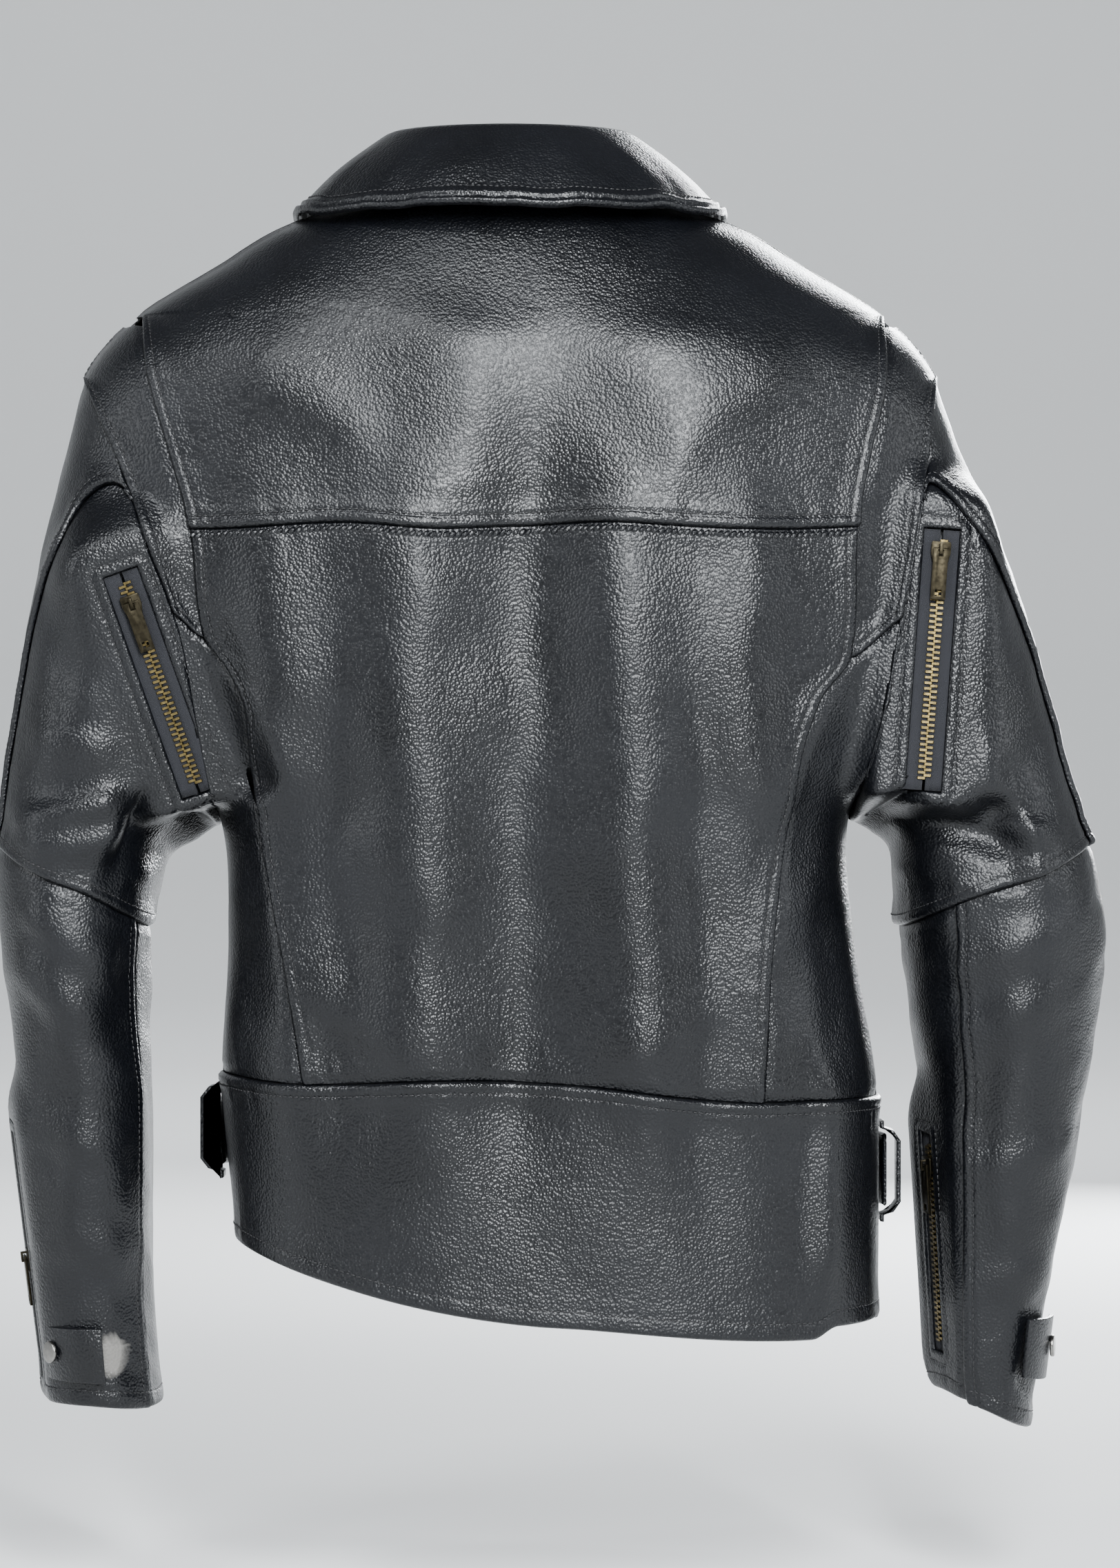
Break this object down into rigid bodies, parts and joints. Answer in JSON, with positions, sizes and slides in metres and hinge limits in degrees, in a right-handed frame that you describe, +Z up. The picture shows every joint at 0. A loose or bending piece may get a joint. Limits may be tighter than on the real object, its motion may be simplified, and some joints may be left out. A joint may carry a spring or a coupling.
{
  "type": "leather riding jacket",
  "caption": "Hip-length leather riding jacket with fold-over collar and lapels, braided back yoke, underarm vent zips, zipped cuffs and a half belt with a buckle.",
  "frame": {"origin": "the back of the neck seam on the middle line, where a hanger carries the jacket", "axes": "+Z up, +Y out of the jacket's front, +X to the wearer's right as the jacket hangs with its back to -Y"},
  "size_m": [0.6076, 0.2363, 0.7115],
  "materials": {
    "leather": "black cowhide, satin, milled grain",
    "leather_grained": "black cowhide, satin, coarser grain on yoke and collar",
    "braid": "black braided leather lace",
    "lining": "black woven satin lining",
    "zip_tape": "dark grey herringbone tape",
    "zip_teeth": "antique brass",
    "zip_metal": "antique nickelled brass, worn",
    "hardware": "nickel plated, polished",
    "stitching": "black waxed thread"
  },
  "bodies": {
    "jacket": {"back_yoke": "leather_grained", "back_panel": "leather", "side_panel_left": "leather", "side_panel_right": "leather", "back_gusset_left": "leather", "back_gusset_right": "leather", "front_panel_left": "leather", "front_panel_right": "leather", "lapel_left": "leather", "lapel_right": "leather", "collar": "leather_grained", "waistband": "leather", "yoke_braid": "braid", "body_lining": "lining", "hanger_loop": "lining", "belt_loops": "leather", "belt_strap": "leather", "pocket_bags": "lining", "lapel_snaps": "hardware", "top_sleeve_left": "leather", "top_sleeve_right": "leather", "under_sleeve_left": "leather", "under_sleeve_right": "leather", "vent_zip_tapes": "zip_tape", "vent_zip_teeth": "zip_teeth", "front_zip_tapes": "zip_tape", "front_zip_teeth": "zip_teeth"},
    "vent_slider_left": {"vent_slider_left": "zip_metal"},
    "vent_pull_left": {"vent_pull_left": "zip_metal"},
    "vent_slider_right": {"vent_slider_right": "zip_metal"},
    "vent_pull_right": {"vent_pull_right": "zip_metal"},
    "main_slider": {"main_slider": "zip_metal"},
    "main_pull": {"main_pull": "zip_metal"},
    "hand_slider_left": {"hand_slider_left": "zip_metal"},
    "hand_pull_left": {"hand_pull_left": "zip_metal"},
    "hand_slider_right": {"hand_slider_right": "zip_metal"},
    "hand_pull_right": {"hand_pull_right": "zip_metal"},
    "chest_slider": {"chest_slider": "zip_metal"},
    "chest_pull": {"chest_pull": "zip_metal"},
    "cuff_slider_left": {"cuff_slider_left": "zip_metal"},
    "cuff_pull_left": {"cuff_pull_left": "zip_metal"},
    "cuff_slider_right": {"cuff_slider_right": "zip_metal"},
    "cuff_pull_right": {"cuff_pull_right": "zip_metal"},
    "forearm_left": {"forearm_top_left": "leather", "forearm_under_left": "leather", "forearm_lining_left": "lining", "cuff_zip_tape_left": "zip_tape", "cuff_zip_teeth_left": "zip_teeth"},
    "cuff_tab_left": {"cuff_tab_left": "leather", "cuff_snap_left": "hardware"},
    "forearm_right": {"forearm_top_right": "leather", "forearm_under_right": "leather", "forearm_lining_right": "lining", "cuff_zip_tape_right": "zip_tape", "cuff_zip_teeth_right": "zip_teeth"},
    "cuff_tab_right": {"cuff_tab_right": "leather", "cuff_snap_right": "hardware"},
    "belt_buckle": {"belt_buckle": "hardware"},
    "buckle_prong": {"buckle_prong": "hardware"}
  },
  "joints": [
    {"name": "elbow_left", "type": "hinge", "parent": "jacket", "child": "forearm_left", "pos_m": [-0.23845, 0.02673, -0.388], "axis": [1, 0, 0], "range_deg": [0, 45]},
    {"name": "elbow_right", "type": "hinge", "parent": "jacket", "child": "forearm_right", "pos_m": [0.26987, 0.02673, -0.388], "axis": [1, 0, 0], "range_deg": [0, 45]},
    {"name": "vent_zip_slide_left", "type": "slide", "parent": "jacket", "child": "vent_slider_left", "axis": [0.3219, 0.1764, -0.9302], "range_m": [-0.0065, 0.0951]},
    {"name": "vent_pull_hinge_left", "type": "hinge", "parent": "vent_slider_left", "child": "vent_pull_left", "pos_m": [-0.20127, -0.08495, -0.22058], "axis": [-0.945, 0, -0.327], "range_deg": [0, 165]},
    {"name": "vent_zip_slide_right", "type": "slide", "parent": "jacket", "child": "vent_slider_right", "axis": [-0.0754, -0.0352, -0.9965], "range_m": [-0.0005, 0.115]},
    {"name": "vent_pull_hinge_right", "type": "hinge", "parent": "vent_slider_right", "child": "vent_pull_right", "pos_m": [0.23143, -0.07553, -0.19135], "axis": [-0.9972, 0, 0.0754], "range_deg": [0, 165]},
    {"name": "main_zip_slide", "type": "slide", "parent": "jacket", "child": "main_slider", "axis": [-0.1265, 0.0018, -0.992], "range_m": [-0.0005, 0.3318]},
    {"name": "main_pull_hinge", "type": "hinge", "parent": "main_slider", "child": "main_pull", "pos_m": [0.05722, 0.10453, -0.24615], "axis": [0.992, 0, -0.1265], "range_deg": [0, 165]},
    {"name": "hand_zip_slide_left", "type": "slide", "parent": "jacket", "child": "hand_slider_left", "axis": [-0.5406, -0.1809, -0.8216], "range_m": [-0.0045, 0.0725]},
    {"name": "hand_pull_hinge_left", "type": "hinge", "parent": "hand_slider_left", "child": "hand_pull_left", "pos_m": [-0.07053, 0.10532, -0.40032], "axis": [0.7755, 0.2714, -0.57], "range_deg": [0, 165]},
    {"name": "hand_zip_slide_right", "type": "slide", "parent": "jacket", "child": "hand_slider_right", "axis": [0.5447, -0.1334, -0.8279], "range_m": [-0.0045, 0.0718]},
    {"name": "hand_pull_hinge_right", "type": "hinge", "parent": "hand_slider_right", "child": "hand_pull_right", "pos_m": [0.10213, 0.10543, -0.40006], "axis": [0.7826, -0.2739, 0.559], "range_deg": [0, 165]},
    {"name": "chest_zip_slide", "type": "slide", "parent": "jacket", "child": "chest_slider", "axis": [-0.9117, -0.1272, 0.3907], "range_m": [-0.0045, 0.0568]},
    {"name": "chest_pull_hinge", "type": "hinge", "parent": "chest_slider", "child": "chest_pull", "pos_m": [-0.05272, 0.10975, -0.3085], "axis": [-0.378, -0.1134, -0.9188], "range_deg": [0, 165]},
    {"name": "cuff_zip_slide_left", "type": "slide", "parent": "forearm_left", "child": "cuff_slider_left", "axis": [0.1116, 0.1144, -0.9871], "range_m": [-0.0585, 0.0536]},
    {"name": "cuff_pull_hinge_left", "type": "hinge", "parent": "cuff_slider_left", "child": "cuff_pull_left", "pos_m": [-0.26726, 0.01227, -0.57727], "axis": [-0.1953, 0.9765, 0.0911], "range_deg": [0, 165]},
    {"name": "cuff_zip_slide_right", "type": "slide", "parent": "forearm_right", "child": "cuff_slider_right", "axis": [0.0667, 0.1266, -0.9897], "range_m": [-0.0065, 0.0901]},
    {"name": "cuff_pull_hinge_right", "type": "hinge", "parent": "cuff_slider_right", "child": "cuff_pull_right", "pos_m": [0.22705, -0.00285, -0.52579], "axis": [-0.3608, 0.9278, 0.0944], "range_deg": [0, 75]},
    {"name": "cuff_tab_hinge_left", "type": "hinge", "parent": "forearm_left", "child": "cuff_tab_left", "pos_m": [-0.22255, -0.02488, -0.62818], "axis": [0, 0, 1], "range_deg": [0, 50]},
    {"name": "cuff_tab_hinge_right", "type": "hinge", "parent": "forearm_right", "child": "cuff_tab_right", "pos_m": [0.28039, -0.02103, -0.62393], "axis": [0, 0, -1], "range_deg": [0, 50]},
    {"name": "buckle_hinge", "type": "hinge", "parent": "jacket", "child": "belt_buckle", "pos_m": [0.019, 0.1104, -0.518], "axis": [0, 0, 1], "range_deg": [0, 40]},
    {"name": "prong_hinge", "type": "hinge", "parent": "belt_buckle", "child": "buckle_prong", "pos_m": [0.019, 0.1104, -0.518], "axis": [0, 0, 1], "range_deg": [0, 40]}
  ]
}
